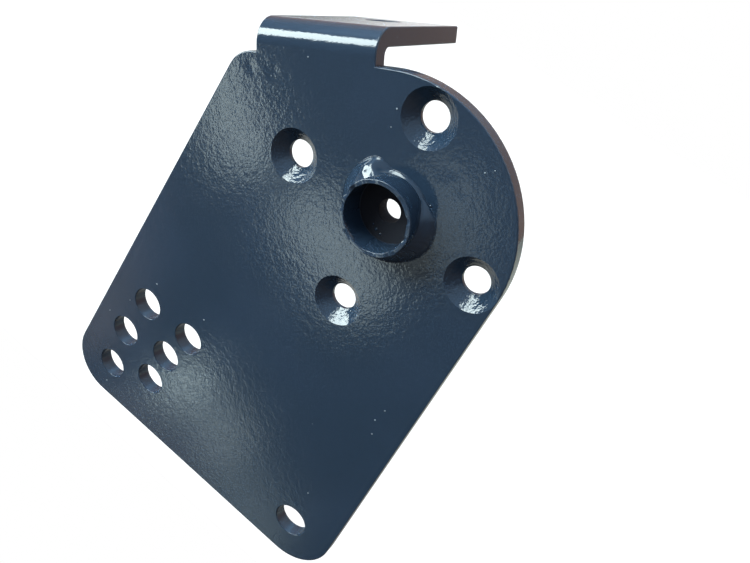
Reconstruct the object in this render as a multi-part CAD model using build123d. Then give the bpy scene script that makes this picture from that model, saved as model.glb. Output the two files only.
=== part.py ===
from build123d import *
import os
from math import cos, radians, sin, tan

# Roller bracket: a folded steel plate with a short tube welded to its front face.
# X runs across the plate, Z up along its long straight edge, and the front face looks towards -Y.
# The origin is the middle of the bearing's bolt circle, on the back face where the bearing seats.
# Sketches on the plate use its own plane: x is X, y is Z, and height counts from the back face
# towards the front. All lengths are in millimetres and all angles in degrees.

# Sheet
plate_thickness = 8.0
edge_radius = 0.7
mouth_chamfer = 0.4

# Plate outline, as seen from the front
end_radius = 62.5
top_slope = 23.3
top_left_radius = 15.0
left_taper = 12.0
left_edge_distance = 98.5
bottom_left_radius = 25.0
pivot_drop = 197.0
pivot_rim = 27.5

# Folded flange
flange_width = 60.0
flange_centre = -36.0
flange_rise = 3.3
bend_inner_radius = 3.5
bend_angle = 91.5
flange_length = 70.0
flange_corner_radius = 1.5
flange_hole_diameter = 17.0
flange_hole_distance = 47.5

# Bearing screws: a bolt circle with countersinks on the front face
bearing_pitch_circle = 99.0
bearing_screws = 4
screw_hole_diameter = 13.0
countersink_diameter = 25.3
countersink_angle = 90.0

# Pivot and setting holes
pivot_diameter = 20.0
setting_diameter = 19.0
setting_holes = 6
setting_inner_radius = 120.5
setting_outer_radius = 150.0
setting_first_angle = 150.0
setting_step = 6.1

# Socket tube
socket_x = 2.8
socket_y = 5.8
socket_outer_diameter = 33.7
socket_wall = 2.0
socket_height = 13.5
socket_rim_chamfer = 0.5
socket_hole_diameter = 10.6

# Weld bead round the foot of the tube. By angle from +X, its full run starts at the top left, goes
# round under the tube and fades out on the right. Only a thin stretch closes the ring at the top.
weld_leg = 6.8
thin_weld_leg = 1.5
weld_crown = 0.5
weld_start_angle = 133.0
weld_end_angle = 372.0
weld_start_fade = 20.0
weld_end_fade = 40.0
fade_sections = 5

# How far cutters and buried faces run past what they cut
overrun = 1.0

back = Plane.XZ
front = back.offset(plate_thickness)
pivot_x = end_radius - pivot_rim
bottom_edge = pivot_drop + pivot_rim
edge_rounding = min(edge_radius, plate_thickness * 0.4)
mouth_bevel = min(mouth_chamfer, plate_thickness * 0.4)
rim_bevel = min(socket_rim_chamfer, socket_wall * 0.4)
socket_outer_radius = socket_outer_diameter / 2
socket_inner_radius = socket_outer_radius - socket_wall


def line_crossing(angle_a, distance_a, angle_b, distance_b):
    """Crossing of two lines of the plate plane, each by its normal's angle and its distance."""
    ax, ay = cos(radians(angle_a)), sin(radians(angle_a))
    bx, by = cos(radians(angle_b)), sin(radians(angle_b))
    det = ax * by - ay * bx
    return Vector((distance_a * by - distance_b * ay) / det, (ax * distance_b - bx * distance_a) / det)


def plate_outline():
    """Plate outline: four straight edges, with the round bearing end as one of its corners."""
    right = (0.0, end_radius)
    top = (90.0 + top_slope, end_radius)
    left = (180.0 - left_taper, left_edge_distance)
    bottom = (270.0, bottom_edge)
    corners = [
        (line_crossing(*right, *top), end_radius),
        (line_crossing(*top, *left), top_left_radius),
        (line_crossing(*left, *bottom), bottom_left_radius),
        (line_crossing(*bottom, *right), pivot_rim),
    ]
    outline = make_face(Polyline([corner for corner, _ in corners], close=True))
    for corner, radius in corners:
        outline = fillet(outline.vertices().sort_by_distance(corner)[0], radius)
    return outline


def fold_plane():
    """Plane of the fold's profile: x up along the tab, y back from the back face."""
    tab_side = flange_centre + flange_width / 2
    along = Vector(cos(radians(top_slope)), 0, sin(radians(top_slope)))
    up = Vector(-sin(radians(top_slope)), 0, cos(radians(top_slope)))
    return Plane(origin=along * tab_side, x_dir=up, z_dir=-along)


def fold_skin(radius, height):
    """One skin of the fold: straight up the tab, round the bend and out along the flange."""
    tab = Line((end_radius - plate_thickness, height), (end_radius + flange_rise, height))
    bend = JernArc(start=tab @ 1, tangent=tab % 1, radius=radius, arc_size=bend_angle)
    flange = PolarLine(bend @ 1, flange_length, angle=bend_angle)
    return tab, bend, flange


def folded_tab():
    """Tab, bend and flange in one constant thickness, its two far corners rounded."""
    inner = fold_skin(bend_inner_radius, 0.0)
    outer = fold_skin(bend_inner_radius + plate_thickness, -plate_thickness)
    root = Line(inner[0] @ 0, outer[0] @ 0)
    far_end = Line(inner[2] @ 1, outer[2] @ 1)
    profile = make_face([*inner, far_end, *outer, root])
    tab = extrude(fold_plane() * profile, flange_width)
    corners = tab.faces().sort_by(Axis.Y)[-1].edges().filter_by(is_thickness_edge)
    return fillet(corners, flange_corner_radius)


def is_thickness_edge(edge):
    """True for an edge that runs straight through the sheet."""
    return abs(edge.length - plate_thickness) < 0.001


def is_fold_seam(edge):
    """True for an edge along the fold, where the bend runs out into flat sheet."""
    return abs(edge.length - flange_width) < 0.001


def folded_sheet():
    """The cut and folded sheet before its holes, with the painted edges rounded."""
    sheet = extrude(back * plate_outline(), plate_thickness) + folded_tab()
    rims = [edge for edge in sheet.edges() if not is_thickness_edge(edge) and not is_fold_seam(edge)]
    return fillet(rims, edge_rounding)


def flange_hole_plane():
    """Plane on the flange's inner skin, at the middle of its hole, facing out through the flange."""
    inner = fold_skin(bend_inner_radius, 0.0)[2]
    middle = inner @ (flange_hole_distance / flange_length)
    fold = fold_plane()
    centre = fold.from_local_coords(Vector(middle.X, middle.Y, flange_width / 2))
    outwards = fold.x_dir * sin(radians(bend_angle)) - fold.y_dir * cos(radians(bend_angle))
    return Plane(origin=centre, z_dir=outwards)


def straight_cutter(diameter):
    """Cutter for a straight hole from skin to skin of the sheet, both of its mouths bevelled."""
    radius = diameter / 2
    wide = radius + mouth_bevel + overrun
    profile = make_face(Polyline(
        (0, -overrun), (wide, -overrun), (radius, mouth_bevel), (radius, plate_thickness - mouth_bevel),
        (wide, plate_thickness + overrun), (0, plate_thickness + overrun), close=True,
    ))
    return revolve(Plane.XZ * profile, Axis.Z)


def screw_cutter():
    """Cutter for a countersunk screw hole, its cone open on the front face."""
    radius = screw_hole_diameter / 2
    spread = tan(radians(countersink_angle / 2))
    depth = (countersink_diameter / 2 - radius) / spread
    profile = make_face(Polyline(
        (0, -overrun), (radius, -overrun), (radius, plate_thickness - depth),
        (countersink_diameter / 2 + overrun * spread, plate_thickness + overrun),
        (0, plate_thickness + overrun), close=True,
    ))
    return revolve(Plane.XZ * profile, Axis.Z)


def setting_places():
    """Places of the setting holes: by turns on an inner and an outer arc about the pivot."""
    places = []
    for index in range(setting_holes):
        radius = setting_outer_radius if index % 2 else setting_inner_radius
        angle = radians(setting_first_angle + setting_step * index)
        places.append(Location((pivot_x + radius * cos(angle), -pivot_drop + radius * sin(angle))))
    return places


def bracket_plate():
    """Folded plate with all its holes."""
    sheet = folded_sheet()
    for place in PolarLocations(bearing_pitch_circle / 2, bearing_screws):
        sheet -= back * place * screw_cutter()
    for place in setting_places():
        sheet -= back * place * straight_cutter(setting_diameter)
    sheet -= back * Location((pivot_x, -pivot_drop)) * straight_cutter(pivot_diameter)
    sheet -= back * socket_place * straight_cutter(socket_hole_diameter)
    sheet -= flange_hole_plane() * straight_cutter(flange_hole_diameter)
    return sheet


def socket_tube():
    """Short tube standing on the front face, the edges of its open end bevelled."""
    ring = Circle(socket_outer_radius) - Circle(socket_inner_radius)
    tube = extrude(front * socket_place * ring, socket_height)
    open_end = tube.faces().sort_by(Axis.Y)[0]
    return chamfer(open_end.edges(), rim_bevel)


def smooth_step(share):
    """Ease from 0 to 1, flat at both ends."""
    return share * share * (3 - 2 * share)


def weld_section(leg, angle):
    """Section of the bead at an angle, crowned in the middle, its two flat sides buried for trimming."""
    turn = radians(angle)
    buried = socket_outer_radius - overrun
    toe = socket_outer_radius + leg
    crown = leg / 2 + weld_crown * leg / weld_leg * sin(radians(45))
    outline = make_face(Polyline(
        (buried, leg), (socket_outer_radius, leg), (socket_outer_radius + crown, crown), (toe, 0),
        (toe, -overrun), (buried, -overrun), close=True,
    ))
    return Plane(origin=(0, 0, 0), x_dir=(cos(turn), sin(turn), 0), z_dir=(sin(turn), -cos(turn), 0)) * outline


def weld_run(leg, start, end):
    """Stretch of the bead with an even leg, from one angle to another."""
    return revolve(weld_section(leg, start), Axis.Z, end - start)


def weld_fade(thin_angle, full_angle):
    """Stretch of the bead that grows from the thin leg to the full one between two angles."""
    sections = []
    for index in range(fade_sections):
        share = index / (fade_sections - 1)
        leg = thin_weld_leg + (weld_leg - thin_weld_leg) * smooth_step(share)
        sections.append(weld_section(leg, thin_angle + (full_angle - thin_angle) * share))
    return loft(sections)


def weld_bead():
    """Weld bead: runs and fades joined end to end, then trimmed to the tube's wall and the front face."""
    thin_start = weld_end_angle + weld_end_fade
    thin_end = weld_start_angle - weld_start_fade + 360
    bead = weld_run(weld_leg, weld_start_angle, weld_end_angle)
    bead += weld_fade(thin_start, weld_end_angle)
    bead += weld_run(thin_weld_leg, thin_start, thin_end)
    bead += weld_fade(thin_end, weld_start_angle + 360)
    bead -= Cylinder(socket_outer_radius, 4 * socket_height)
    reach = 2 * (socket_outer_radius + 2 * weld_leg)
    bead -= extrude(Rectangle(reach, reach), -2 * overrun)
    return front * socket_place * bead


socket_place = Location((socket_x, socket_y))
nodes = {
    "bracket_plate": bracket_plate(),
    "socket_tube": socket_tube(),
    "weld_bead": weld_bead(),
}
os.makedirs("parts", exist_ok=True)
for name, solid in nodes.items():
    export_step(solid, f"parts/{name}.step")
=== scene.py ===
"""Looks of a roller bracket: a folded steel plate with a welded socket tube, in glossy dark blue paint.

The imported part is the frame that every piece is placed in. Lengths are in metres, X runs across
the plate, Z up along its straight edge, and the front face looks towards -Y. Angles round the
socket tube are in degrees from +X towards +Z, as they are seen from the front.
"""

import logging
from contextlib import contextmanager
from dataclasses import dataclass
from enum import Enum
from math import atan2, cos, degrees, hypot, pi, radians, sin, sqrt
from typing import Callable, Iterator

import bmesh
import bpy
from mathutils import Matrix, Vector


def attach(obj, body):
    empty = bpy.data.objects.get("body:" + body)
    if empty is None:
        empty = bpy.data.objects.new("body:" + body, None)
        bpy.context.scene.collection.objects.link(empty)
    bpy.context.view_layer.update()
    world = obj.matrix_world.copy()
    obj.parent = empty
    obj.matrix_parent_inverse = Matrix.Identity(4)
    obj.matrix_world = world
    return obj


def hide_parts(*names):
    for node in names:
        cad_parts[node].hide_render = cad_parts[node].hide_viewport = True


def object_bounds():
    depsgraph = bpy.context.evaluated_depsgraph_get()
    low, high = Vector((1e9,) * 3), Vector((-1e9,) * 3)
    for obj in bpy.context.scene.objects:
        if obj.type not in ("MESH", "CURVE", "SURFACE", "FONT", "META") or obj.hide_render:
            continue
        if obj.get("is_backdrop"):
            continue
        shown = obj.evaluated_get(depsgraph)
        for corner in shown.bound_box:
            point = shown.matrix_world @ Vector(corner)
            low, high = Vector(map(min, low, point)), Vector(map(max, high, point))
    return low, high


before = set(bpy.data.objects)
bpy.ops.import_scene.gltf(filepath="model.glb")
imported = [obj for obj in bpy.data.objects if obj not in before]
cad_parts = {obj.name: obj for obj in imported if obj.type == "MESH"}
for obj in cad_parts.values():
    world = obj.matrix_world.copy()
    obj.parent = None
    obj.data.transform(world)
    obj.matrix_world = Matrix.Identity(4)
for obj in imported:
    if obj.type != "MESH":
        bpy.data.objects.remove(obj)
cad_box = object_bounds()

Colour = tuple[float, float, float]
Span = tuple[float, float]
Rows = tuple[tuple[float, ...], ...]

BODY = "root"

# Sizes repeated from the part
FRONT_Y = -0.008
SCREW_CIRCLE = 0.099
SCREW_HOLES = 4
SCREW_HOLE_RADIUS = 0.0065
COUNTERSINK_RADIUS = 0.01265
SOCKET_X = 0.0028
SOCKET_Z = 0.0058
SOCKET_OUTER_RADIUS = 0.01685
SOCKET_INNER_RADIUS = 0.01485
SOCKET_HEIGHT = 0.0135
SOCKET_HOLE_RADIUS = 0.0053
SOCKET_FOOT = (SOCKET_X, FRONT_Y, SOCKET_Z)

# A primitive that lies flat is turned by this to face along Y
UPRIGHT = (pi / 2, 0.0, 0.0)

log = logging.getLogger("roller_bracket")


class Shape(Enum):
    """How a mesh's parts are selected."""

    VERTS = "VERT"
    EDGES = "EDGE"
    FACES = "FACE"


def linear(red: int, green: int, blue: int) -> Colour:
    """Turn a display colour of 0 to 255 into the linear colour that shaders take."""
    def channel(value: float) -> float:
        """Turn one channel of 0 to 1."""
        return value / 12.92 if value <= 0.04045 else ((value + 0.055) / 1.055) ** 2.4
    return channel(red / 255), channel(green / 255), channel(blue / 255)


def opaque(colour: Colour) -> tuple[float, float, float, float]:
    """Give a colour its alpha."""
    return (*colour, 1.0)


def ease(value: float, low: float, high: float) -> float:
    """Ease a value from 0 at low to 1 at high, flat at both ends."""
    share = min(max((value - low) / (high - low), 0.0), 1.0)
    return share * share * (3 - 2 * share)


def round_socket(angle: float, radius: float, height: float = 0.0) -> Vector:
    """Give the point at an angle and radius round the tube's axis.

    Args:
        angle: degrees from +X towards +Z.
        radius: distance from the tube's axis.
        height: distance out of the front face.

    Returns:
        The point in the part's frame.
    """
    turn = radians(angle)
    return Vector((SOCKET_X + radius * cos(turn), FRONT_Y - height, SOCKET_Z + radius * sin(turn)))


def deselect_all() -> None:
    """Clear the selection that a load or an earlier piece has left."""
    bpy.ops.object.select_all(action="DESELECT")


def activate(piece: bpy.types.Object) -> None:
    """Make a piece the only selected and the active one."""
    deselect_all()
    piece.select_set(True)
    bpy.context.view_layer.objects.active = piece


@contextmanager
def editing(piece: bpy.types.Object, shape: Shape = Shape.VERTS) -> Iterator[None]:
    """Hold a piece in edit mode, with nothing selected at first."""
    activate(piece)
    bpy.ops.object.mode_set(mode="EDIT")
    bpy.ops.mesh.select_mode(type=shape.value)
    bpy.ops.mesh.select_all(action="DESELECT")
    yield
    bpy.ops.object.mode_set(mode="OBJECT")


def pick(piece: bpy.types.Object, shape: Shape, wanted: Callable[[Vector, Vector], bool]) -> int:
    """Select the parts of the edited mesh that a test names, and only those.

    Args:
        piece: the piece in edit mode.
        shape: whether vertices, edges or faces are tested.
        wanted: test on the part's middle and its normal or direction.

    Returns:
        How many parts are selected.
    """
    mesh = bmesh.from_edit_mesh(piece.data)
    bpy.ops.mesh.select_all(action="DESELECT")
    if shape is Shape.VERTS:
        found = [v for v in mesh.verts if wanted(v.co, v.normal)]
    elif shape is Shape.EDGES:
        found = [e for e in mesh.edges
                 if wanted((e.verts[0].co + e.verts[1].co) / 2, e.verts[1].co - e.verts[0].co)]
    else:
        found = [f for f in mesh.faces if wanted(f.calc_center_median(), f.normal)]
    for part in found:
        part.select_set(True)
    mesh.select_flush_mode()
    bmesh.update_edit_mesh(piece.data)
    return len(found)


def pull(piece: bpy.types.Object, centre: Vector, grip: float, move: Vector, reach: float) -> None:
    """Move the vertices round a point of the edited mesh, and softly those about them.

    Args:
        piece: the piece in edit mode.
        centre: the point that is pulled.
        grip: how near a vertex is to be taken hold of.
        move: how far it goes.
        reach: how far the softly moved part spreads.
    """
    pick(piece, Shape.VERTS, lambda place, normal: (place - centre).length < grip)
    bpy.ops.transform.translate(
        value=move, use_proportional_edit=True, proportional_size=reach, proportional_edit_falloff="SMOOTH",
    )


def add_modifier(piece: bpy.types.Object, kind: str, **settings: object) -> None:
    """Add a modifier with its settings to a piece and apply it at once."""
    activate(piece)
    modifier = piece.modifiers.new(kind.lower(), kind)
    for name, value in settings.items():
        setattr(modifier, name, value)
    bpy.ops.object.modifier_apply(modifier=modifier.name)


def settle(piece: bpy.types.Object) -> None:
    """Put a piece's place, turn and scale into its mesh."""
    activate(piece)
    bpy.ops.object.transform_apply(location=True, rotation=True, scale=True)


def smooth(piece: bpy.types.Object, limit: float) -> None:
    """Shade a piece smooth but for edges sharper than a limit in degrees, and level its flat faces."""
    activate(piece)
    bpy.ops.object.shade_smooth_by_angle(angle=radians(limit))
    add_modifier(piece, "WEIGHTED_NORMAL", mode="FACE_AREA", keep_sharp=True)


def mount(piece: bpy.types.Object, material: bpy.types.Material, node: str | None = None) -> None:
    """Dress a piece and let it ride with the part.

    Args:
        piece: the finished piece.
        material: its finish.
        node: the node that it stands for, where it stands for one.
    """
    piece.data.materials.clear()
    piece.data.materials.append(material)
    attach(piece, BODY)
    if node:
        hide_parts(node)
    log.info("%s: %d faces", piece.name, len(piece.data.polygons))


class NodeSheet:
    """A node tree with short calls for adding and joining nodes."""

    def __init__(self, tree: bpy.types.NodeTree) -> None:
        """Keep the tree that nodes are added to."""
        self.tree = tree

    def add(self, kind: str, **settings: object) -> bpy.types.Node:
        """Add a node of a kind and set its properties."""
        node = self.tree.nodes.new(kind)
        for name, value in settings.items():
            setattr(node, name, value)
        return node

    def feed(self, socket: bpy.types.NodeSocket, value: object) -> None:
        """Give an input a plain value, or join another node's output to it."""
        if isinstance(value, bpy.types.NodeSocket):
            self.tree.links.new(value, socket)
        else:
            socket.default_value = value

    def fill(self, node: bpy.types.Node, values: tuple) -> bpy.types.Node:
        """Feed a node's first inputs in order."""
        for socket, value in zip(node.inputs, values):
            self.feed(socket, value)
        return node

    def maths(self, operation: str, *values: object) -> bpy.types.NodeSocket:
        """Add a Math node and return its result."""
        return self.fill(self.add("ShaderNodeMath", operation=operation), values).outputs[0]

    def product(self, *values: object) -> bpy.types.NodeSocket:
        """Multiply two values."""
        return self.maths("MULTIPLY", *values)

    def total(self, *values: object) -> bpy.types.NodeSocket:
        """Add two values."""
        return self.maths("ADD", *values)

    def vector(self, operation: str, *values: object) -> bpy.types.NodeSocket:
        """Add a Vector Math node and return its vector."""
        return self.fill(self.add("ShaderNodeVectorMath", operation=operation), values).outputs["Vector"]

    def measure(self, operation: str, *values: object) -> bpy.types.NodeSocket:
        """Add a Vector Math node, such as a distance, and return its number."""
        return self.fill(self.add("ShaderNodeVectorMath", operation=operation), values).outputs["Value"]

    def parts(self, vector: object) -> bpy.types.bpy_prop_collection:
        """Take a vector apart into its X, Y and Z."""
        return self.fill(self.add("ShaderNodeSeparateXYZ"), (vector,)).outputs

    def ramp(self, value: object, low: object, high: object) -> bpy.types.NodeSocket:
        """Ease a value from 0 at low to 1 at high."""
        node = self.add("ShaderNodeMapRange", interpolation_type="SMOOTHSTEP")
        return self.fill(node, (value, low, high)).outputs["Result"]

    def blend(self, share: object, first: object, second: object) -> bpy.types.NodeSocket:
        """Mix two colours by a share."""
        node = self.add("ShaderNodeMix", data_type="RGBA")
        self.feed(node.inputs["Factor"], share)
        for title, colour in (("A", first), ("B", second)):
            self.feed(next(i for i in node.inputs if i.name == title and i.type == "RGBA"), colour)
        return next(o for o in node.outputs if o.type == "RGBA")

    def noise(self, vector: object, scale: object, detail: float = 1.0) -> bpy.types.NodeSocket:
        """Add a noise texture and return its value."""
        node = self.add("ShaderNodeTexNoise", noise_dimensions="3D")
        self.feed(node.inputs["Vector"], vector)
        self.feed(node.inputs["Scale"], scale)
        self.feed(node.inputs["Detail"], detail)
        return node.outputs["Fac"]

    def mix_shaders(self, share: object, first: bpy.types.Node,
                    second: bpy.types.Node) -> bpy.types.NodeSocket:
        """Mix two shaders by a share."""
        node = self.add("ShaderNodeMixShader")
        return self.fill(node, (share, first.outputs[0], second.outputs[0])).outputs[0]


def new_material(name: str) -> tuple[bpy.types.Material, NodeSheet]:
    """Give a material of a name and its empty sheet of nodes."""
    material = bpy.data.materials.new(name)
    material.use_nodes = True
    material.node_tree.nodes.clear()
    return material, NodeSheet(material.node_tree)


@dataclass(frozen=True)
class PaintFilm:
    """Node group of the wet-sprayed paint film, shared by every painted piece.

    Its inputs are the place, the two tones, the size of the orange peel, how rough the film is, how
    wet it went on, where it is dull and darkened as painted shade, and any wider shape below it. Its
    outputs are the colour, the roughness and the film's height in metres.
    """

    name: str = "paint_film"
    # The peel leans with the way the paint ran
    flow_turn: float = 38.0
    flow_stretch: float = 0.85
    # Broad sags: their size against the peel's, and how much wet paint adds to both
    sag_share: float = 0.3
    wet_peel: float = 2.8
    wet_sag: float = 5.0
    # Dust: cells to a metre, the empty share of them, and a speck's size, height, colour and cover
    dust_scale: float = 95.0
    dust_free: float = 0.72
    dust_reach: float = 0.045
    dust_height: float = 0.00012
    dust_colour: Colour = linear(120, 135, 148)
    dust_cover: float = 0.6
    # Clouds: how many to a metre, their detail and the noise that they span
    cloud_scale: float = 16.0
    cloud_detail: float = 3.0
    cloud_span: Span = (0.35, 0.65)
    # Haze: how many patches to a metre, their detail and how much roughness they add
    haze_scale: float = 45.0
    haze_detail: float = 2.0
    haze: float = 0.05
    # Dull paint in the socket and its bore, darkened to near black as painted shade of the recess
    socket_shade_colour: Colour = linear(20, 23, 33)
    dull_roughness: float = 0.85

    def build(self) -> bpy.types.NodeTree:
        """Make the group once.

        Returns:
            The node group.
        """
        group = bpy.data.node_groups.new(self.name, "ShaderNodeTree")
        for title, way, kind in (
            ("Place", "INPUT", "Vector"), ("Tone", "INPUT", "Color"), ("Deep tone", "INPUT", "Color"),
            ("Peel scale", "INPUT", "Float"), ("Peel height", "INPUT", "Float"),
            ("Sag height", "INPUT", "Float"), ("Roughness", "INPUT", "Float"), ("Wet", "INPUT", "Float"),
            ("Dull and shaded", "INPUT", "Float"), ("Ground", "INPUT", "Float"),
            ("Colour", "OUTPUT", "Color"), ("Roughness", "OUTPUT", "Float"), ("Height", "OUTPUT", "Float"),
        ):
            group.interface.new_socket(name=title, in_out=way, socket_type=f"NodeSocket{kind}")
        sheet = NodeSheet(group)
        given = sheet.add("NodeGroupInput").outputs
        result = sheet.add("NodeGroupOutput").inputs
        speck = self.dust(sheet, given["Place"])
        raised = sheet.total(self.skin(sheet, given), sheet.product(speck, self.dust_height))
        sheet.feed(result["Height"], sheet.total(raised, given["Ground"]))
        cloud = sheet.ramp(sheet.noise(given["Place"], self.cloud_scale, self.cloud_detail), *self.cloud_span)
        tone = sheet.blend(cloud, given["Deep tone"], given["Tone"])
        tone = sheet.blend(sheet.product(speck, self.dust_cover), tone, opaque(self.dust_colour))
        # Where the paint is marked dull, its colour goes to the near-black painted shade of the socket
        sheet.feed(result["Colour"], sheet.blend(given["Dull and shaded"], tone, opaque(self.socket_shade_colour)))
        haze = sheet.product(sheet.noise(given["Place"], self.haze_scale, self.haze_detail), self.haze)
        dull = sheet.product(given["Dull and shaded"], self.dull_roughness)
        sheet.feed(result["Roughness"], sheet.total(sheet.total(given["Roughness"], haze), dull))
        return group

    def skin(self, sheet: NodeSheet, given: bpy.types.bpy_prop_collection) -> bpy.types.NodeSocket:
        """Give the height of the orange peel and of the sags below it, both higher where the paint is wet."""
        flow = sheet.add("ShaderNodeMapping")
        sheet.feed(flow.inputs["Vector"], given["Place"])
        flow.inputs["Rotation"].default_value = (0.0, radians(self.flow_turn), 0.0)
        flow.inputs["Scale"].default_value = (1.0, 1.0, self.flow_stretch)
        heights = []
        for scale, height, wet in (
            (given["Peel scale"], given["Peel height"], self.wet_peel),
            (sheet.product(given["Peel scale"], self.sag_share), given["Sag height"], self.wet_sag),
        ):
            wave = sheet.product(sheet.maths("SUBTRACT", sheet.noise(flow.outputs[0], scale), 0.5), height)
            heights.append(sheet.product(wave, sheet.total(sheet.product(given["Wet"], wet), 1.0)))
        return sheet.total(*heights)

    def dust(self, sheet: NodeSheet, place: bpy.types.NodeSocket) -> bpy.types.NodeSocket:
        """Give a mask of the fine specks that settled in the wet paint."""
        cells = sheet.add("ShaderNodeTexVoronoi", feature="F1")
        sheet.feed(cells.inputs["Vector"], place)
        cells.inputs["Scale"].default_value = self.dust_scale
        few = sheet.maths("GREATER_THAN", sheet.parts(cells.outputs["Color"])["X"], self.dust_free)
        return sheet.product(few, sheet.ramp(cells.outputs["Distance"], self.dust_reach, 0.0))


@dataclass(frozen=True)
class PaintFinish:
    """Glossy paint over steel, by its tones, its gloss and its orange peel."""

    name: str
    tone: Colour
    deep_tone: Colour
    roughness: float
    peel_scale: float
    peel_height: float
    sag_height: float

    def build(self, film: bpy.types.NodeTree) -> bpy.types.Material:
        """Make the material.

        Args:
            film: the shared paint film group.

        Returns:
            The material.
        """
        material, sheet = new_material(self.name)
        group = sheet.add("ShaderNodeGroup", node_tree=film)
        place = sheet.add("ShaderNodeTexCoord").outputs["Object"]
        for title, value in (
            ("Place", place), ("Tone", opaque(self.tone)), ("Deep tone", opaque(self.deep_tone)),
            ("Peel scale", self.peel_scale), ("Peel height", self.peel_height),
            ("Sag height", self.sag_height), ("Roughness", self.roughness),
        ):
            sheet.feed(group.inputs[title], value)
        self.mark(sheet, place, group.inputs)
        bump = sheet.add("ShaderNodeBump")
        bump.inputs["Strength"].default_value = 1.0
        bump.inputs["Distance"].default_value = 1.0
        sheet.feed(bump.inputs["Height"], group.outputs["Height"])
        shader = sheet.add("ShaderNodeBsdfPrincipled")
        sheet.feed(shader.inputs["Base Color"], group.outputs["Colour"])
        sheet.feed(shader.inputs["Roughness"], group.outputs["Roughness"])
        sheet.feed(shader.inputs["Normal"], bump.outputs["Normal"])
        sheet.feed(sheet.add("ShaderNodeOutputMaterial").inputs["Surface"], shader.outputs["BSDF"])
        return material

    def mark(self, sheet: NodeSheet, place: bpy.types.NodeSocket,
             film: bpy.types.bpy_prop_collection) -> None:
        """Leave the film even: a plain finish has no places of its own."""


@dataclass(frozen=True)
class PlateFinish(PaintFinish):
    """The paint as it lies on the plate: wet in the countersinks, dull and darkened as painted shade in the
    socket, over small dents.
    """

    # Depths below the front face between which the face's and the countersinks' marks fade out
    face_fade: Span = (0.0010, 0.0004)
    cone_fade: Span = (0.0072, 0.0066)
    # Distances past a radius between which its mark fades out
    mouth_fade: Span = (0.0, -0.0008)
    floor_fade: Span = (0.0004, -0.0006)
    bore_fade: Span = (0.0005, 0.0002)
    dents: Rows = (
        # x, z, reach and depth
        (0.0146, 0.0359, 0.0075, 0.00007),
        (0.0200, 0.0375, 0.0050, 0.00004),
        (0.0264, 0.0327, 0.0045, 0.00005),
        (0.0012, 0.0320, 0.0060, -0.00004),
        (-0.0850, 0.0240, 0.0050, 0.00007),
        (-0.0740, 0.0280, 0.0060, 0.00006),
        (-0.0920, 0.0210, 0.0040, -0.00004),
    )

    def mark(self, sheet: NodeSheet, place: bpy.types.NodeSocket,
             film: bpy.types.bpy_prop_collection) -> None:
        """Feed the film's wet, dull-and-shaded and ground inputs by their places on the plate."""
        def fade(value: bpy.types.NodeSocket, edge: float, span: Span) -> bpy.types.NodeSocket:
            """Ease from 0 to 1 over a span that is counted from an edge."""
            return sheet.ramp(value, edge + span[0], edge + span[1])
        flat = sheet.vector("MULTIPLY", place, (1.0, 0.0, 1.0))
        depth = sheet.parts(place)["Y"]
        front = fade(depth, FRONT_Y, self.face_fade)
        folded = sheet.vector("ABSOLUTE", flat)
        across = sheet.measure("DISTANCE", folded, (SCREW_CIRCLE / 2, 0.0, 0.0))
        upright = sheet.measure("DISTANCE", folded, (0.0, 0.0, SCREW_CIRCLE / 2))
        cone = fade(sheet.maths("MINIMUM", across, upright), COUNTERSINK_RADIUS, self.mouth_fade)
        sheet.feed(film["Wet"], sheet.product(cone, fade(depth, FRONT_Y, self.cone_fade)))
        out = sheet.measure("DISTANCE", flat, (SOCKET_X, 0.0, SOCKET_Z))
        # The socket's floor and the bore of its hole are dull and darkened: painted shade of the recess
        floor = fade(out, SOCKET_INNER_RADIUS, self.floor_fade)
        bore = fade(out, SOCKET_HOLE_RADIUS, self.bore_fade)
        sheet.feed(film["Dull and shaded"], sheet.product(floor, sheet.maths("MAXIMUM", front, bore)))
        ground = 0.0
        for x, z, reach, drop in self.dents:
            dent = sheet.ramp(sheet.measure("DISTANCE", flat, (x, 0.0, z)), reach, 0.0)
            ground = sheet.maths("SUBTRACT", ground, sheet.product(dent, drop))
        sheet.feed(film["Ground"], sheet.product(ground, front))


@dataclass(frozen=True)
class FloorFinish:
    """The pale floor: white to the camera but for the part's shadow, and dimmer where the part mirrors it,
    darker towards -X below the part as painted shade.
    """

    name: str = "pale_floor"
    # What the part mirrors goes darker towards -X, below and beside the part: painted shade, seen only in
    # reflections
    left: Colour = (0.24, 0.22, 0.20)
    right: Colour = (0.48, 0.45, 0.37)
    turn: Span = (-0.10, 0.35)
    shadowed: Colour = (0.20, 0.20, 0.20)
    shine: float = 0.93

    def build(self) -> bpy.types.Material:
        """Make the material.

        Returns:
            The material.
        """
        material, sheet = new_material(self.name)
        across = sheet.parts(sheet.add("ShaderNodeTexCoord").outputs["Object"])["X"]
        mirrored = sheet.add("ShaderNodeBsdfDiffuse")
        # Darker to the left, under the part: painted shade in the mirrored floor
        shade = sheet.blend(sheet.ramp(across, *self.turn), opaque(self.left), opaque(self.right))
        sheet.feed(mirrored.inputs["Color"], shade)
        grey = sheet.add("ShaderNodeBsdfDiffuse")
        grey.inputs["Color"].default_value = opaque(self.shadowed)
        white = sheet.add("ShaderNodeEmission")
        white.inputs["Color"].default_value = opaque((1.0, 1.0, 1.0))
        white.inputs["Strength"].default_value = self.shine
        shown = sheet.fill(sheet.add("ShaderNodeAddShader"), (grey.outputs[0], white.outputs[0]))
        camera = sheet.add("ShaderNodeLightPath").outputs["Is Camera Ray"]
        surface = sheet.add("ShaderNodeOutputMaterial").inputs["Surface"]
        sheet.feed(surface, sheet.mix_shaders(camera, mirrored, shown))
        return material


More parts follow.
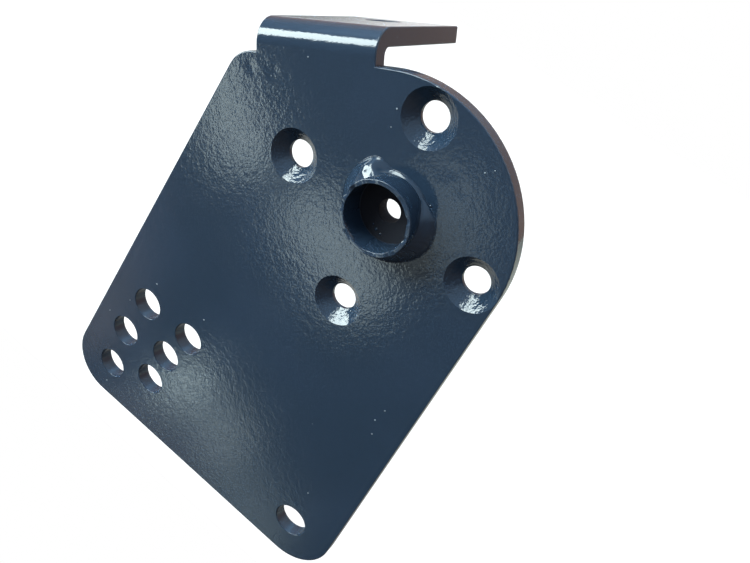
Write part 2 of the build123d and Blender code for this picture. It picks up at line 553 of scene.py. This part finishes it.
@dataclass
class Plate:
    """Folded plate: a merged copy of the part's plate, with the paint's soft lips at its countersinks."""

    node: str = "bracket_plate"
    lip: float = 0.0005
    lip_segments: int = 3
    same_place: float = 0.000002
    flat_limit: float = 0.05
    smooth_limit: float = 50.0
    level_slack: float = 0.00005
    radius_slack: float = 0.00015

    def build(self) -> bpy.types.Object:
        """Copy, merge and soften the plate.

        Returns:
            The plate's piece.
        """
        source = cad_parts[self.node]
        piece = bpy.data.objects.new("painted_plate", source.data.copy())
        bpy.context.scene.collection.objects.link(piece)
        with editing(piece):
            bpy.ops.mesh.select_all(action="SELECT")
            bpy.ops.mesh.remove_doubles(threshold=self.same_place)
            bpy.ops.mesh.customdata_custom_splitnormals_clear()
            bpy.ops.mesh.select_all(action="SELECT")
            bpy.ops.mesh.dissolve_limited(angle_limit=radians(self.flat_limit))
        with editing(piece, Shape.EDGES):
            count = pick(piece, Shape.EDGES, self.is_screw_edge)
            bpy.ops.mesh.bevel(
                offset=self.lip, segments=self.lip_segments, affect="EDGES", clamp_overlap=True,
            )
        log.info("plate lips: %d edges", count)
        smooth(piece, self.smooth_limit)
        return piece

    def is_screw_edge(self, middle: Vector, along: Vector) -> bool:
        """True for an edge of a countersink's mouth or of its meeting with the straight hole."""
        root_y = FRONT_Y + COUNTERSINK_RADIUS - SCREW_HOLE_RADIUS
        for radius, level in ((COUNTERSINK_RADIUS, FRONT_Y), (SCREW_HOLE_RADIUS, root_y)):
            if abs(middle.y - level) > self.level_slack or abs(along.y) > self.level_slack:
                continue
            for hole in range(SCREW_HOLES):
                turn = 2 * pi * hole / SCREW_HOLES
                x = SCREW_CIRCLE / 2 * cos(turn)
                z = SCREW_CIRCLE / 2 * sin(turn)
                if abs(hypot(middle.x - x, middle.z - z) - radius) < self.radius_slack:
                    return True
        return False


@dataclass
class Socket:
    """Socket tube: a turned ring drawn out of the plate, with a thick painted rim and its burrs."""

    node: str = "socket_tube"
    around: int = 180
    rise: float = 0.0045
    rim_rounding: float = 0.0004
    rim_segments: int = 4
    smooth_limit: float = 60.0
    slack: float = 0.00001
    grip: float = 0.00075
    burrs: Rows = (
        # angle, share of the wall from the inside, drop into the tube, shift outwards, reach
        (118.0, 0.9, 0.0003, -0.0002, 0.0020),
        (62.0, 0.6, 0.0003, 0.0, 0.0030),
        (32.0, 0.2, 0.0004, 0.0003, 0.0016),
        (1.0, 0.2, 0.0007, 0.0003, 0.0018),
        (321.0, 0.5, 0.0010, 0.0, 0.0016),
        (331.0, 0.8, 0.0002, 0.0002, 0.0012),
        (290.0, 0.3, 0.0003, 0.0, 0.0030),
        (240.0, 0.8, 0.0003, -0.0001, 0.0026),
        (194.0, 0.9, 0.0005, -0.0004, 0.0016),
        (172.0, 1.0, 0.0006, -0.0005, 0.0020),
        (158.0, 0.4, 0.0008, 0.0003, 0.0018),
        (139.0, 0.6, 0.0004, 0.0001, 0.0022),
    )

    def build(self) -> bpy.types.Object:
        """Draw the tube out of a ring, round its rim and mark its burrs.

        Returns:
            The tube's piece.
        """
        deselect_all()
        bpy.ops.mesh.primitive_circle_add(
            vertices=self.around, radius=SOCKET_OUTER_RADIUS, fill_type="NOTHING",
            location=SOCKET_FOOT, rotation=UPRIGHT,
        )
        piece = bpy.context.object
        piece.name = "painted_socket"
        settle(piece)
        rises = (self.rise, self.rise, SOCKET_HEIGHT - 2 * self.rise)
        with editing(piece):
            bpy.ops.mesh.select_all(action="SELECT")
            for rise in rises:
                bpy.ops.mesh.extrude_region_move(TRANSFORM_OT_translate={"value": (0.0, -rise, 0.0)})
            bpy.ops.mesh.extrude_region_move()
            share = SOCKET_INNER_RADIUS / SOCKET_OUTER_RADIUS
            bpy.ops.transform.resize(value=(share, 1.0, share), center_override=SOCKET_FOOT)
            for rise in reversed(rises):
                bpy.ops.mesh.extrude_region_move(TRANSFORM_OT_translate={"value": (0.0, rise, 0.0)})
            pick(piece, Shape.VERTS, lambda place, normal: abs(place.y - FRONT_Y) < self.slack)
            bpy.ops.mesh.bridge_edge_loops()
            bpy.ops.mesh.select_all(action="SELECT")
            bpy.ops.mesh.normals_make_consistent(inside=False)
        with editing(piece, Shape.EDGES):
            pick(piece, Shape.EDGES, self.is_rim_edge)
            bpy.ops.mesh.bevel(offset=self.rim_rounding, segments=self.rim_segments, affect="EDGES")
        self.mark_burrs(piece)
        smooth(piece, self.smooth_limit)
        return piece

    def is_rim_edge(self, middle: Vector, along: Vector) -> bool:
        """True for an edge that runs round the rim, not across it."""
        out = (middle - Vector(SOCKET_FOOT)).normalized()
        on_rim = abs(middle.y - (FRONT_Y - SOCKET_HEIGHT)) < self.slack
        return on_rim and abs(along.normalized().dot(out)) < 0.5

    def mark_burrs(self, piece: bpy.types.Object) -> None:
        """Pull small burrs and dents into the rim, each with a soft reach."""
        wall = SOCKET_OUTER_RADIUS - SOCKET_INNER_RADIUS
        with editing(piece):
            for angle, share, drop, shift, reach in self.burrs:
                centre = round_socket(angle, SOCKET_INNER_RADIUS + share * wall, SOCKET_HEIGHT)
                outwards = (round_socket(angle, 1.0) - round_socket(angle, 0.0)).normalized()
                pull(piece, centre, self.grip, outwards * shift + Vector((0.0, drop, 0.0)), reach)


@dataclass
class WeldBead:
    """Weld bead: a crowned section spun round the tube's foot and swelled along its run."""

    node: str = "weld_bead"
    leg: float = 0.0068
    crown: float = 0.0003
    arc_points: int = 320
    around: int = 360
    burial: float = 0.0004
    rows: int = 16
    ripple_lag: float = 5.0
    toe_roll: float = 0.0003
    toe_points: int = 8
    smooth_limit: float = 50.0
    same_place: float = 0.00001
    end_slack: float = 0.00002
    grip: float = 0.0008
    legs: Rows = (
        # angle and leg, on round the tube from the thin stretch at its top
        (53.0, 0.0013), (110.0, 0.0013), (119.0, 0.0030), (126.0, 0.0056), (134.0, 0.0072),
        (150.0, 0.0074), (180.0, 0.0073), (215.0, 0.0067), (260.0, 0.0069), (313.0, 0.0062),
        (345.0, 0.0067), (372.0, 0.0058), (386.0, 0.0049), (400.0, 0.0029), (413.0, 0.0013),
    )
    ripples: Rows = (
        # how many go round, how far they are turned, size against the leg
        (43.0, 0.0, 0.0120), (59.0, 40.0, 0.0084), (17.0, 0.0, 0.0072),
    )
    # The ripples come in after the lump, go where the bead fades out, and need a leg of some size
    ripple_start: Span = (150.0, 220.0)
    ripple_end: Span = (385.0, 325.0)
    ripple_leg: Span = (0.002, 0.005)
    lumps: Rows = (
        # angle, distance out of the tube, height, pull outwards, reach
        (127.0, 0.0040, 0.0032, 0.0006, 0.0036),
        (136.0, 0.0044, 0.0036, 0.0008, 0.0040),
        (147.0, 0.0046, 0.0036, 0.0007, 0.0040),
    )

    def leg_at(self, angle: float) -> float:
        """Give the leg of the bead at an angle, with the ripples of its run."""
        angle = (angle - self.legs[0][0]) % 360.0 + self.legs[0][0]
        place = next(i for i in range(len(self.legs) - 1) if angle <= self.legs[i + 1][0])
        slope, next_slope = self.slope_at(place), self.slope_at(place + 1)
        (first, low), (last, high) = self.legs[place:place + 2]
        t = (angle - first) / (last - first)
        leg = (low * (1 + 2 * t) * (1 - t) ** 2 + high * t * t * (3 - 2 * t)
               + (last - first) * (slope * t * (1 - t) ** 2 - next_slope * t * t * (1 - t)))
        share = ease(angle, *self.ripple_start) * ease(angle, *self.ripple_end) * ease(leg, *self.ripple_leg)
        wave = sum(size * sin(radians(count * angle + turn)) for count, turn, size in self.ripples)
        return leg * (1.0 + wave * share)

    def slope_at(self, index: int) -> float:
        """Give the slope of the leg at one of its stated angles, flat at both ends."""
        if index in (0, len(self.legs) - 1):
            return 0.0
        (before, low), (after, high) = self.legs[index - 1], self.legs[index + 1]
        return (high - low) / (after - before)

    def build(self) -> bpy.types.Object:
        """Spin the section, swell it slice by slice and roughen it.

        Returns:
            The bead's piece.
        """
        piece = self.spin_section()
        self.swell(piece)
        self.lag(piece)
        self.raise_lumps(piece)
        self.roll_toe(piece)
        smooth(piece, self.smooth_limit)
        return piece

    def spin_section(self) -> bpy.types.Object:
        """Cut the crowned section out of a disc and spin it into an even ring.

        Returns:
            The ring, its two flat sides buried in the tube and the plate.
        """
        arc_radius = 2 * self.leg ** 2 / (8 * self.crown) + self.crown / 2
        inset = (arc_radius - self.crown) / sqrt(2)
        corner = self.leg / 2
        centre = Vector((SOCKET_X + SOCKET_OUTER_RADIUS + corner - inset, FRONT_Y - corner + inset, SOCKET_Z))
        deselect_all()
        bpy.ops.mesh.primitive_circle_add(
            vertices=self.arc_points, radius=arc_radius, fill_type="NGON", location=centre, rotation=UPRIGHT,
        )
        piece = bpy.context.object
        piece.name = "weld_run"
        settle(piece)
        with editing(piece):
            bpy.ops.mesh.select_all(action="SELECT")
            bpy.ops.transform.rotate(value=pi / 2, orient_axis="X", center_override=centre)
            for side, normal in (
                ((SOCKET_X + SOCKET_OUTER_RADIUS - self.burial, 0.0, 0.0), (1.0, 0.0, 0.0)),
                ((0.0, FRONT_Y + self.burial, 0.0), (0.0, -1.0, 0.0)),
            ):
                bpy.ops.mesh.select_all(action="SELECT")
                bpy.ops.mesh.bisect(
                    plane_co=side, plane_no=normal, use_fill=False, clear_inner=True, clear_outer=False,
                )
            bpy.ops.mesh.select_all(action="SELECT")
            bpy.ops.mesh.spin(
                steps=self.around, angle=2 * pi, center=SOCKET_FOOT, axis=(0.0, 1.0, 0.0),
                use_auto_merge=False, dupli=False,
            )
            pick(piece, Shape.FACES, self.is_end_face)
            bpy.ops.mesh.delete(type="FACE")
            bpy.ops.mesh.select_all(action="SELECT")
            bpy.ops.mesh.remove_doubles(threshold=self.same_place)
            bpy.ops.mesh.normals_make_consistent(inside=False)
        return piece

    def is_end_face(self, middle: Vector, normal: Vector) -> bool:
        """True for the section's own face, left inside the ring where the spin starts and ends."""
        return abs(middle.z - SOCKET_Z) < self.end_slack and abs(normal.z) > 0.999

    def each_slice(self, piece: bpy.types.Object) -> Iterator[float]:
        """Select the slices of an edited ring one after another.

        Args:
            piece: the ring in edit mode.

        Yields:
            The angle of the slice that is selected.
        """
        step = 360.0 / self.around
        slices: dict[int, list[int]] = {}
        mesh = bmesh.from_edit_mesh(piece.data)
        for vertex in mesh.verts:
            angle = degrees(atan2(vertex.co.z - SOCKET_Z, vertex.co.x - SOCKET_X)) % 360.0
            slices.setdefault(round(angle / step) % self.around, []).append(vertex.index)
        for index, members in slices.items():
            mesh = bmesh.from_edit_mesh(piece.data)
            mesh.verts.ensure_lookup_table()
            bpy.ops.mesh.select_all(action="DESELECT")
            for member in members:
                mesh.verts[member].select_set(True)
            mesh.select_flush_mode()
            yield index * step

    def swell(self, piece: bpy.types.Object) -> None:
        """Scale each slice of the spun bead about its buried corner to the leg at its angle."""
        with editing(piece):
            for angle in self.each_slice(piece):
                scale = self.leg_at(angle) / self.leg
                corner = round_socket(angle, SOCKET_OUTER_RADIUS)
                bpy.ops.transform.resize(value=(scale, scale, scale), center_override=corner)

    def lag(self, piece: bpy.types.Object) -> None:
        """Turn the middle rows of the bead back about the tube, so that its ripples curve."""
        with editing(piece):
            for row in range(1, self.rows):
                lean = 1.0 - (2.0 * row / self.rows - 1.0) ** 2
                pick(piece, Shape.VERTS, lambda place, normal: self.row_of(place) == row)
                bpy.ops.transform.rotate(
                    value=radians(self.ripple_lag * lean), orient_axis="Y", center_override=SOCKET_FOOT,
                )

    def row_of(self, place: Vector) -> int:
        """Give the row of a point by its turn about the bead's buried corner, from the plate to the tube."""
        out = hypot(place.x - SOCKET_X, place.z - SOCKET_Z) - SOCKET_OUTER_RADIUS
        return round(atan2(FRONT_Y - place.y, out) / (pi / 2) * self.rows)

    def raise_lumps(self, piece: bpy.types.Object) -> None:
        """Pull the start of the bead outwards into the fat lump where the weld was begun."""
        with editing(piece):
            for angle, out, rise, lift, reach in self.lumps:
                centre = round_socket(angle, SOCKET_OUTER_RADIUS + out, rise)
                away = (round_socket(angle, 1.0, 1.0) - round_socket(angle, 0.0)).normalized()
                pull(piece, centre, self.grip, away * lift, reach)

    def roll_toe(self, piece: bpy.types.Object) -> None:
        """Lay a thin roll of paint along the bead's toe and join it to the bead."""
        deselect_all()
        bpy.ops.mesh.primitive_torus_add(
            major_radius=SOCKET_OUTER_RADIUS, minor_radius=self.toe_roll, major_segments=self.around,
            minor_segments=self.toe_points, location=SOCKET_FOOT, rotation=UPRIGHT,
        )
        roll = bpy.context.object
        settle(roll)
        with editing(roll):
            for angle in self.each_slice(roll):
                step_out = round_socket(angle, self.leg_at(angle)) - round_socket(angle, 0.0)
                bpy.ops.transform.translate(value=step_out)
        activate(piece)
        roll.select_set(True)
        bpy.ops.object.join()


@dataclass
class Nibs:
    """Small domes on the front face: one low rough dome, copied to its places."""

    name: str
    # x, z and radius
    places: Rows
    segments: int = 20
    flatness: float = 0.6
    roughening: float = 0.06
    smooth_limit: float = 60.0

    def build(self) -> list[bpy.types.Object]:
        """Model the dome once and copy it to its places.

        Returns:
            One piece for each nib.
        """
        deselect_all()
        bpy.ops.mesh.primitive_uv_sphere_add(
            segments=self.segments, ring_count=self.segments // 2, radius=1.0, rotation=UPRIGHT,
        )
        model = bpy.context.object
        settle(model)
        with editing(model):
            bpy.ops.mesh.select_all(action="SELECT")
            bpy.ops.transform.resize(value=(1.0, self.flatness, 1.0), center_override=(0.0, 0.0, 0.0))
            bpy.ops.transform.vertex_random(offset=self.roughening, seed=4)
        pieces = []
        for number, (x, z, radius) in enumerate(self.places, start=1):
            piece = model.copy()
            piece.data = model.data.copy()
            piece.name = f"{self.name}_{number:02d}"
            bpy.context.scene.collection.objects.link(piece)
            piece.location = (x, FRONT_Y, z)
            piece.scale = (radius, radius, radius)
            settle(piece)
            smooth(piece, self.smooth_limit)
            pieces.append(piece)
        bpy.data.objects.remove(model)
        return pieces


def direction(azimuth: float, elevation: float) -> Vector:
    """Give the direction at an azimuth from -Y towards +X and an elevation, both in degrees."""
    a, e = radians(azimuth), radians(elevation)
    return Vector((sin(a) * cos(e), -cos(a) * cos(e), sin(e)))


@dataclass(frozen=True)
class Glow:
    """A soft patch of light in the room, from one direction to another, its width in degrees."""

    start: Span
    end: Span
    width: float
    colour: Colour
    strength: float
    # Shares of the width where the patch is out and where it is full
    fade: Span = (1.4, 0.5)

    def light(self, sheet: NodeSheet, seen: bpy.types.NodeSocket) -> bpy.types.NodeSocket:
        """Add the patch's nodes.

        Args:
            sheet: the sheet of the world's nodes.
            seen: the direction that is looked in.

        Returns:
            The patch's light in that direction.
        """
        first, last = direction(*self.start), direction(*self.end)
        middle = (first + last).normalized()
        along = (last - first).normalized()
        width = radians(self.width)
        u = sheet.maths("ABSOLUTE", sheet.measure("DOT_PRODUCT", seen, along))
        v = sheet.maths("ABSOLUTE", sheet.measure("DOT_PRODUCT", seen, middle.cross(along)))
        facing = sheet.maths("GREATER_THAN", sheet.measure("DOT_PRODUCT", seen, middle), 0.0)
        over = sheet.maths("MAXIMUM", sheet.maths("SUBTRACT", u, (last - first).length / 2), 0.0)
        apart = sheet.maths("SQRT", sheet.total(sheet.product(over, over), sheet.product(v, v)))
        mask = sheet.product(facing, sheet.ramp(apart, *(width * share for share in self.fade)))
        card = sheet.add("ShaderNodeVectorMath", operation="SCALE")
        sheet.feed(card.inputs[0], tuple(c * self.strength for c in self.colour))
        sheet.feed(card.inputs["Scale"], mask)
        return card.outputs["Vector"]


@dataclass(frozen=True)
class Wall:
    """One side of the room: its three colours from the floor up, and the levels between which they turn."""

    low: Colour
    middle: Colour
    high: Colour
    low_turn: Span
    high_turn: Span

    def shade(self, sheet: NodeSheet, level: bpy.types.NodeSocket) -> bpy.types.NodeSocket:
        """Give the wall's colour at a level, the Z of the direction that is looked in."""
        lower = sheet.blend(sheet.ramp(level, *self.low_turn), opaque(self.low), opaque(self.middle))
        return sheet.blend(sheet.ramp(level, *self.high_turn), lower, opaque(self.high))


@dataclass
class Room:
    """The dim room that the paint mirrors. To the camera it is a white backdrop."""

    front: Wall = Wall(
        (0.12, 0.115, 0.11), (0.22, 0.21, 0.20), (0.60, 0.75, 0.92),
        low_turn=(-0.75, -0.35), high_turn=(0.25, 0.65),
    )
    rear: Wall = Wall(
        (0.22, 0.14, 0.10), (0.60, 0.43, 0.34), (0.90, 0.95, 1.0),
        low_turn=(-0.35, 0.0), high_turn=(0.30, 0.60),
    )
    rear_turn: Span = (0.1, 0.7)
    glows: tuple[Glow, ...] = (
        # Patches that the plate's face mirrors
        Glow((-39.1, -20.2), (-32.1, -27.9), 1.7, (0.85, 1.0, 0.97), 5.9),
        Glow((-24.5, -30.4), (-17.2, -34.2), 2.6, (0.85, 1.0, 0.97), 3.9),
        Glow((-31.4, -46.3), (-29.4, -47.3), 1.1, (0.82, 1.0, 0.98), 7.2),
        Glow((-28.4, -47.8), (-25.8, -48.8), 1.2, (0.83, 1.0, 0.98), 3.0),
        Glow((-25.0, -49.0), (-22.0, -50.4), 1.4, (0.85, 1.0, 0.97), 2.8),
        Glow((-20.0, -52.5), (-13.0, -55.0), 2.2, (0.85, 1.0, 0.95), 1.1),
        Glow((-38.0, -51.0), (-28.0, -54.5), 2.8, (1.0, 0.90, 0.82), 0.55),
        Glow((-43.0, -34.0), (-41.5, -44.0), 3.0, (1.0, 0.88, 0.82), 0.7),
        Glow((-13.8, -24.2), (-11.5, -27.0), 3.4, (0.88, 1.0, 0.95), 1.4),
        # Light above and behind that draws the edge of the round end
        Glow((-122.0, 55.0), (145.0, 73.0), 9.0, (0.80, 0.92, 1.0), 2.2),
        Glow((145.0, 73.0), (109.0, 38.0), 9.0, (0.90, 0.97, 1.0), 2.2),
        Glow((109.0, 38.0), (109.0, 0.0), 8.0, (1.0, 1.0, 1.0), 1.5),
        # Top of the window, that only the countersinks and the weld mirror
        Glow((-63.0, 50.5), (-41.0, 48.0), 7.5, (0.86, 1.0, 1.0), 16.0),
        # Sky beside the window, over the bend
        Glow((-82.0, 46.0), (-150.0, 50.0), 16.0, (0.55, 0.76, 1.0), 1.8),
        # Wall behind, along the top of the flange
        Glow((-165.0, -8.0), (-138.0, -10.0), 13.0, (0.98, 0.98, 0.98), 1.15),
    )

    def build(self) -> None:
        """Make the world: the walls, the patches of light and the backdrop."""
        world = bpy.data.worlds.new("studio")
        bpy.context.scene.world = world
        world.use_nodes = True
        world.cycles.sampling_method = "NONE"
        world.node_tree.nodes.clear()
        sheet = NodeSheet(world.node_tree)
        seen = sheet.add("ShaderNodeTexCoord").outputs["Generated"]
        looked = sheet.parts(seen)
        sides = (self.front.shade(sheet, looked["Z"]), self.rear.shade(sheet, looked["Z"]))
        room = sheet.blend(sheet.ramp(looked["Y"], *self.rear_turn), *sides)
        for glow in self.glows:
            room = sheet.vector("MAXIMUM", room, glow.light(sheet, seen))
        walls = sheet.add("ShaderNodeBackground")
        sheet.feed(walls.inputs["Color"], room)
        backdrop = sheet.add("ShaderNodeBackground")
        backdrop.inputs["Color"].default_value = opaque((1.0, 1.0, 1.0))
        path = sheet.add("ShaderNodeLightPath").outputs
        shown = sheet.maths("MAXIMUM", path["Is Camera Ray"], path["Is Transmission Ray"])
        surface = sheet.add("ShaderNodeOutputWorld").inputs["Surface"]
        sheet.feed(surface, sheet.mix_shaders(shown, walls, backdrop))


@dataclass
class Studio:
    """Plain studio: a pale floor, a tall window light, the room round them and the camera."""

    floor_level: float = -0.262
    floor_middle: float = 0.80
    floor_size: Span = (4.0, 1.6)
    # The window faces a point of the fold, from a direction and a distance, its long side along another
    window_faces: tuple[float, float, float] = (-0.060, -0.0065, 0.051)
    window_direction: tuple[float, float, float] = (-0.811, -0.501, 0.303)
    window_distance: float = 1.5
    window_side: tuple[float, float, float] = (0.520, -0.394, 0.752)
    window_size: Span = (1.60, 0.60)
    window_strength: float = 19.5
    window_colour: Colour = (0.86, 1.0, 1.0)
    # The camera stands where the photograph was taken from, by its right, up and back directions
    camera_place: tuple[float, float, float] = (0.08313, -0.25584, 0.14045)
    camera_turn: Rows = (
        (0.77583, 0.49130, 0.39587), (-0.58708, 0.33223, 0.73822), (0.23116, -0.80513, 0.54619),
    )
    camera_lens: float = 32.70
    camera_sensor: float = 36.0
    camera_nearest: float = 0.01

    def build(self) -> None:
        """Set the floor, the window, the room and the camera."""
        self.add_floor()
        self.add_window()
        Room().build()
        self.place_camera()

    def add_floor(self) -> None:
        """Lay a pale floor below the part that shows white and keeps the shadow."""
        deselect_all()
        bpy.ops.mesh.primitive_plane_add(size=1.0, location=(0.0, self.floor_middle, self.floor_level))
        floor = bpy.context.object
        floor.name = "floor"
        floor.scale = (*self.floor_size, 1.0)
        settle(floor)
        floor.data.materials.append(FloorFinish().build())
        floor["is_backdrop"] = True

    def add_window(self) -> None:
        """Hang the tall window light that draws the bright strip along the fold."""
        data = bpy.data.lights.new("window", "AREA")
        data.shape = "RECTANGLE"
        data.size, data.size_y = self.window_size
        data.energy = self.window_strength * pi * self.window_size[0] * self.window_size[1]
        data.color = self.window_colour
        lamp = bpy.data.objects.new("window", data)
        bpy.context.scene.collection.objects.link(lamp)
        away = Vector(self.window_direction)
        along = Vector(self.window_side)
        back = away.normalized()
        side = (along - along.dot(back) * back).normalized()
        turn = Matrix((side, back.cross(side), back)).transposed()
        place = Vector(self.window_faces) + away * self.window_distance
        lamp.matrix_world = Matrix.Translation(place) @ turn.to_4x4()
        lamp.visible_camera = False

    def place_camera(self) -> None:
        """Put the camera where the photograph was taken from."""
        data = bpy.data.cameras.new("camera")
        data.lens = self.camera_lens
        data.sensor_width = self.camera_sensor
        data.clip_start = self.camera_nearest
        camera = bpy.data.objects.new("camera", data)
        bpy.context.scene.collection.objects.link(camera)
        turn = Matrix(self.camera_turn).transposed()
        camera.matrix_world = Matrix.Translation(self.camera_place) @ turn.to_4x4()
        bpy.context.scene.camera = camera


BLUE = {"tone": linear(34, 48, 65), "deep_tone": linear(31, 45, 61), "roughness": 0.08}
DARK_BLUE = PaintFinish("dark_blue_paint", **BLUE, peel_scale=700.0, peel_height=0.00002, sag_height=0.00007)
DARK_BLUE_SHEET = PlateFinish(
    "dark_blue_sheet_paint", **BLUE, peel_scale=950.0, peel_height=0.000045, sag_height=0.00005,
)
PALE_DUST = PaintFinish(
    "pale_dust", tone=linear(150, 160, 168), deep_tone=linear(135, 146, 154), roughness=0.25,
    peel_scale=2000.0, peel_height=0.00001, sag_height=0.00001,
)
SPATTER = Nibs("weld_spatter", (
    (0.0177, 0.0188, 0.00070), (0.0011, -0.0052, 0.00080), (0.0038, -0.0061, 0.00060),
    (-0.0012, -0.0040, 0.00050),
))
DUST = Nibs("paint_nib", (
    (-0.0140, 0.0456, 0.00035), (0.0456, -0.0935, 0.00035), (0.0480, -0.1021, 0.00030),
    (0.0473, -0.0847, 0.00030), (-0.0637, -0.1164, 0.00040), (-0.1268, -0.1615, 0.00030),
    (0.0357, -0.1683, 0.00035), (-0.1153, -0.2150, 0.00035), (-0.1146, -0.1431, 0.00030),
    (-0.0998, -0.1185, 0.00040), (-0.0602, 0.0427, 0.00030), (0.0304, 0.0440, 0.00030),
    (0.0334, 0.0470, 0.00025), (-0.0130, 0.0378, 0.00025),
))


def main() -> None:
    """Build and dress every piece, then set the studio round it."""
    logging.basicConfig(level=logging.INFO, format="%(name)s %(message)s")
    bpy.context.scene.view_settings.view_transform = "Standard"
    film = PaintFilm().build()
    paint = DARK_BLUE.build(film)
    plate = Plate()
    mount(plate.build(), DARK_BLUE_SHEET.build(film), plate.node)
    for sub_assembly in (Socket(), WeldBead()):
        mount(sub_assembly.build(), paint, sub_assembly.node)
    for nibs, material in ((SPATTER, paint), (DUST, PALE_DUST.build(film))):
        for nib in nibs.build():
            mount(nib, material)
    Studio().build()
    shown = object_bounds()
    boxes = {"cad": cad_box, "shown": shown}
    {name: [list(corner) for corner in box] for name, box in boxes.items()}


if __name__ == "__main__":
    main()
